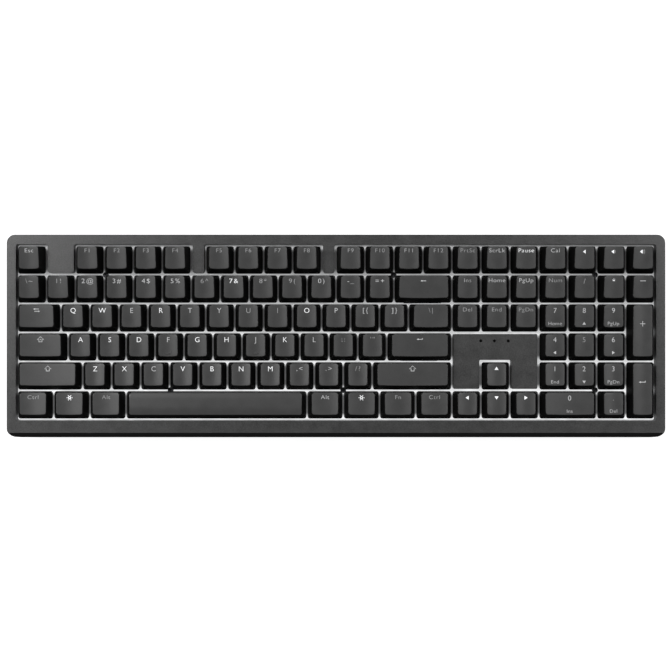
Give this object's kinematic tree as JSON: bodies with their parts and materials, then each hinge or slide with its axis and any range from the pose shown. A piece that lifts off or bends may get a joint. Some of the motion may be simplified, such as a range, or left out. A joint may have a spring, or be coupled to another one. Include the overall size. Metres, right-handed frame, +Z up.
{
  "type": "mechanical keyboard",
  "caption": "Full-size backlit mechanical keyboard: sprung keys on a white steel plate in a slim two-shell wedge case with folding feet.",
  "frame": {"origin": "on the desk, under the middle of the case's bounding box, in the plane of the rubber pads", "axes": "+X to the typist's right along the longest side, +Y away from the typist, +Z up from the desk"},
  "size_m": [0.433, 0.1324, 0.0389],
  "materials": {
    "case_plastic": "finely textured moulded plastic",
    "plate_white": "white powder coat over steel",
    "board_green": "solder mask over glass fibre board",
    "switch_black": "moulded nylon",
    "switch_clear": "frosted clear plastic that passes the light of the lamp",
    "spring_steel": "bright steel",
    "contact_brass": "stamped leaf",
    "lamp_white": "clear lamp body",
    "chip_black": "moulded package",
    "rubber_black": "matt rubber",
    "foot_plastic": "moulded plastic",
    "key_plastic": "satin rubberised plastic caps with clear legends"
  },
  "bodies": {
    "case": {"top_case": "case_plastic", "bottom_case": "case_plastic", "switch_plate": "plate_white", "circuit_board": "board_green", "switch_bases": "switch_black", "switch_covers": "switch_clear", "switch_springs": "spring_steel", "switch_contacts": "contact_brass", "backlight_leds": "lamp_white", "stabiliser_housings": "switch_black", "stabiliser_wires": "spring_steel", "indicator_cover": "case_plastic", "indicator_leds": "lamp_white", "controller_chips": "chip_black", "usb_port": "spring_steel", "case_screws": "spring_steel", "plate_screws": "spring_steel", "rubber_pads": "rubber_black"},
    "foot_left": {"foot_left": "foot_plastic", "foot_tip_left": "rubber_black"},
    "foot_right": {"foot_right": "foot_plastic", "foot_tip_right": "rubber_black"},
    "space_bar": {"space_bar": "key_plastic"},
    "enter_key": {"enter_key": "key_plastic"},
    "backspace_key": {"backspace_key": "key_plastic"},
    "escape_key": {"escape_key": "key_plastic"},
    "arrow_keys": {"arrow_keys": "key_plastic"},
    "media_keys": {"media_keys": "key_plastic"},
    "navigation_keys": {"navigation_keys": "key_plastic"},
    "function_keys": {"function_keys": "key_plastic"},
    "number_keys": {"number_keys": "key_plastic"},
    "punctuation_keys": {"punctuation_keys": "key_plastic"},
    "modifier_keys": {"modifier_keys": "key_plastic"},
    "numpad_keys": {"numpad_keys": "key_plastic"},
    "key_a": {"key_a": "key_plastic"},
    "key_b": {"key_b": "key_plastic"},
    "key_c": {"key_c": "key_plastic"},
    "key_d": {"key_d": "key_plastic"},
    "key_e": {"key_e": "key_plastic"},
    "key_f": {"key_f": "key_plastic"},
    "key_g": {"key_g": "key_plastic"},
    "key_h": {"key_h": "key_plastic"},
    "key_i": {"key_i": "key_plastic"},
    "key_j": {"key_j": "key_plastic"},
    "key_k": {"key_k": "key_plastic"},
    "key_l": {"key_l": "key_plastic"},
    "key_m": {"key_m": "key_plastic"},
    "key_n": {"key_n": "key_plastic"},
    "key_o": {"key_o": "key_plastic"},
    "key_p": {"key_p": "key_plastic"},
    "key_q": {"key_q": "key_plastic"},
    "key_r": {"key_r": "key_plastic"},
    "key_s": {"key_s": "key_plastic"},
    "key_t": {"key_t": "key_plastic"},
    "key_u": {"key_u": "key_plastic"},
    "key_v": {"key_v": "key_plastic"},
    "key_w": {"key_w": "key_plastic"},
    "key_x": {"key_x": "key_plastic"},
    "key_y": {"key_y": "key_plastic"},
    "key_z": {"key_z": "key_plastic"}
  },
  "joints": [
    {"name": "foot_left_fold", "type": "hinge", "parent": "case", "child": "foot_left", "pos_m": [-0.178, 0.055, 0.0032], "axis": [1, 0, 0], "range_deg": [0, 100]},
    {"name": "foot_right_fold", "type": "hinge", "parent": "case", "child": "foot_right", "pos_m": [0.178, 0.055, 0.0032], "axis": [1, 0, 0], "range_deg": [0, 100]},
    {"name": "key_space_bar_press", "type": "slide", "parent": "case", "child": "space_bar", "axis": [0, 0.0958, -0.9954], "range_m": [0, 0.004], "stiffness_N_per_m": 75, "springref_m": -0.004, "deforming": ["switch_springs"]},
    {"name": "key_enter_press", "type": "slide", "parent": "case", "child": "enter_key", "axis": [0, 0.0958, -0.9954], "range_m": [0, 0.004], "stiffness_N_per_m": 75, "springref_m": -0.004, "deforming": ["switch_springs"]},
    {"name": "key_backspace_press", "type": "slide", "parent": "case", "child": "backspace_key", "axis": [0, 0.0958, -0.9954], "range_m": [0, 0.004], "stiffness_N_per_m": 75, "springref_m": -0.004, "deforming": ["switch_springs"]},
    {"name": "key_escape_press", "type": "slide", "parent": "case", "child": "escape_key", "axis": [0, 0.0958, -0.9954], "range_m": [0, 0.004], "stiffness_N_per_m": 75, "springref_m": -0.004, "deforming": ["switch_springs"]},
    {"name": "key_arrow_press", "type": "slide", "parent": "case", "child": "arrow_keys", "axis": [0, 0.0958, -0.9954], "range_m": [0, 0.004], "stiffness_N_per_m": 300, "springref_m": -0.004, "deforming": ["switch_springs"]},
    {"name": "key_media_press", "type": "slide", "parent": "case", "child": "media_keys", "axis": [0, 0.0958, -0.9954], "range_m": [0, 0.004], "stiffness_N_per_m": 300, "springref_m": -0.004, "deforming": ["switch_springs"]},
    {"name": "key_navigation_press", "type": "slide", "parent": "case", "child": "navigation_keys", "axis": [0, 0.0958, -0.9954], "range_m": [0, 0.004], "stiffness_N_per_m": 675, "springref_m": -0.004, "deforming": ["switch_springs"]},
    {"name": "key_function_press", "type": "slide", "parent": "case", "child": "function_keys", "axis": [0, 0.0958, -0.9954], "range_m": [0, 0.004], "stiffness_N_per_m": 900, "springref_m": -0.004, "deforming": ["switch_springs"]},
    {"name": "key_number_press", "type": "slide", "parent": "case", "child": "number_keys", "axis": [0, 0.0958, -0.9954], "range_m": [0, 0.004], "stiffness_N_per_m": 975, "springref_m": -0.004, "deforming": ["switch_springs"]},
    {"name": "key_punctuation_press", "type": "slide", "parent": "case", "child": "punctuation_keys", "axis": [0, 0.0958, -0.9954], "range_m": [0, 0.004], "stiffness_N_per_m": 600, "springref_m": -0.004, "deforming": ["switch_springs"]},
    {"name": "key_modifier_press", "type": "slide", "parent": "case", "child": "modifier_keys", "axis": [0, 0.0958, -0.9954], "range_m": [0, 0.004], "stiffness_N_per_m": 825, "springref_m": -0.004, "deforming": ["switch_springs"]},
    {"name": "key_numpad_press", "type": "slide", "parent": "case", "child": "numpad_keys", "axis": [0, 0.0958, -0.9954], "range_m": [0, 0.004], "stiffness_N_per_m": 1275, "springref_m": -0.004, "deforming": ["switch_springs"]},
    {"name": "key_a_press", "type": "slide", "parent": "case", "child": "key_a", "axis": [0, 0.0958, -0.9954], "range_m": [0, 0.004], "stiffness_N_per_m": 75, "springref_m": -0.004, "deforming": ["switch_springs"]},
    {"name": "key_b_press", "type": "slide", "parent": "case", "child": "key_b", "axis": [0, 0.0958, -0.9954], "range_m": [0, 0.004], "stiffness_N_per_m": 75, "springref_m": -0.004, "deforming": ["switch_springs"]},
    {"name": "key_c_press", "type": "slide", "parent": "case", "child": "key_c", "axis": [0, 0.0958, -0.9954], "range_m": [0, 0.004], "stiffness_N_per_m": 75, "springref_m": -0.004, "deforming": ["switch_springs"]},
    {"name": "key_d_press", "type": "slide", "parent": "case", "child": "key_d", "axis": [0, 0.0958, -0.9954], "range_m": [0, 0.004], "stiffness_N_per_m": 75, "springref_m": -0.004, "deforming": ["switch_springs"]},
    {"name": "key_e_press", "type": "slide", "parent": "case", "child": "key_e", "axis": [0, 0.0958, -0.9954], "range_m": [0, 0.004], "stiffness_N_per_m": 75, "springref_m": -0.004, "deforming": ["switch_springs"]},
    {"name": "key_f_press", "type": "slide", "parent": "case", "child": "key_f", "axis": [0, 0.0958, -0.9954], "range_m": [0, 0.004], "stiffness_N_per_m": 75, "springref_m": -0.004, "deforming": ["switch_springs"]},
    {"name": "key_g_press", "type": "slide", "parent": "case", "child": "key_g", "axis": [0, 0.0958, -0.9954], "range_m": [0, 0.004], "stiffness_N_per_m": 75, "springref_m": -0.004, "deforming": ["switch_springs"]},
    {"name": "key_h_press", "type": "slide", "parent": "case", "child": "key_h", "axis": [0, 0.0958, -0.9954], "range_m": [0, 0.004], "stiffness_N_per_m": 75, "springref_m": -0.004, "deforming": ["switch_springs"]},
    {"name": "key_i_press", "type": "slide", "parent": "case", "child": "key_i", "axis": [0, 0.0958, -0.9954], "range_m": [0, 0.004], "stiffness_N_per_m": 75, "springref_m": -0.004, "deforming": ["switch_springs"]},
    {"name": "key_j_press", "type": "slide", "parent": "case", "child": "key_j", "axis": [0, 0.0958, -0.9954], "range_m": [0, 0.004], "stiffness_N_per_m": 75, "springref_m": -0.004, "deforming": ["switch_springs"]},
    {"name": "key_k_press", "type": "slide", "parent": "case", "child": "key_k", "axis": [0, 0.0958, -0.9954], "range_m": [0, 0.004], "stiffness_N_per_m": 75, "springref_m": -0.004, "deforming": ["switch_springs"]},
    {"name": "key_l_press", "type": "slide", "parent": "case", "child": "key_l", "axis": [0, 0.0958, -0.9954], "range_m": [0, 0.004], "stiffness_N_per_m": 75, "springref_m": -0.004, "deforming": ["switch_springs"]},
    {"name": "key_m_press", "type": "slide", "parent": "case", "child": "key_m", "axis": [0, 0.0958, -0.9954], "range_m": [0, 0.004], "stiffness_N_per_m": 75, "springref_m": -0.004, "deforming": ["switch_springs"]},
    {"name": "key_n_press", "type": "slide", "parent": "case", "child": "key_n", "axis": [0, 0.0958, -0.9954], "range_m": [0, 0.004], "stiffness_N_per_m": 75, "springref_m": -0.004, "deforming": ["switch_springs"]},
    {"name": "key_o_press", "type": "slide", "parent": "case", "child": "key_o", "axis": [0, 0.0958, -0.9954], "range_m": [0, 0.004], "stiffness_N_per_m": 75, "springref_m": -0.004, "deforming": ["switch_springs"]},
    {"name": "key_p_press", "type": "slide", "parent": "case", "child": "key_p", "axis": [0, 0.0958, -0.9954], "range_m": [0, 0.004], "stiffness_N_per_m": 75, "springref_m": -0.004, "deforming": ["switch_springs"]},
    {"name": "key_q_press", "type": "slide", "parent": "case", "child": "key_q", "axis": [0, 0.0958, -0.9954], "range_m": [0, 0.004], "stiffness_N_per_m": 75, "springref_m": -0.004, "deforming": ["switch_springs"]},
    {"name": "key_r_press", "type": "slide", "parent": "case", "child": "key_r", "axis": [0, 0.0958, -0.9954], "range_m": [0, 0.004], "stiffness_N_per_m": 75, "springref_m": -0.004, "deforming": ["switch_springs"]},
    {"name": "key_s_press", "type": "slide", "parent": "case", "child": "key_s", "axis": [0, 0.0958, -0.9954], "range_m": [0, 0.004], "stiffness_N_per_m": 75, "springref_m": -0.004, "deforming": ["switch_springs"]},
    {"name": "key_t_press", "type": "slide", "parent": "case", "child": "key_t", "axis": [0, 0.0958, -0.9954], "range_m": [0, 0.004], "stiffness_N_per_m": 75, "springref_m": -0.004, "deforming": ["switch_springs"]},
    {"name": "key_u_press", "type": "slide", "parent": "case", "child": "key_u", "axis": [0, 0.0958, -0.9954], "range_m": [0, 0.004], "stiffness_N_per_m": 75, "springref_m": -0.004, "deforming": ["switch_springs"]},
    {"name": "key_v_press", "type": "slide", "parent": "case", "child": "key_v", "axis": [0, 0.0958, -0.9954], "range_m": [0, 0.004], "stiffness_N_per_m": 75, "springref_m": -0.004, "deforming": ["switch_springs"]},
    {"name": "key_w_press", "type": "slide", "parent": "case", "child": "key_w", "axis": [0, 0.0958, -0.9954], "range_m": [0, 0.004], "stiffness_N_per_m": 75, "springref_m": -0.004, "deforming": ["switch_springs"]},
    {"name": "key_x_press", "type": "slide", "parent": "case", "child": "key_x", "axis": [0, 0.0958, -0.9954], "range_m": [0, 0.004], "stiffness_N_per_m": 75, "springref_m": -0.004, "deforming": ["switch_springs"]},
    {"name": "key_y_press", "type": "slide", "parent": "case", "child": "key_y", "axis": [0, 0.0958, -0.9954], "range_m": [0, 0.004], "stiffness_N_per_m": 75, "springref_m": -0.004, "deforming": ["switch_springs"]},
    {"name": "key_z_press", "type": "slide", "parent": "case", "child": "key_z", "axis": [0, 0.0958, -0.9954], "range_m": [0, 0.004], "stiffness_N_per_m": 75, "springref_m": -0.004, "deforming": ["switch_springs"]}
  ]
}
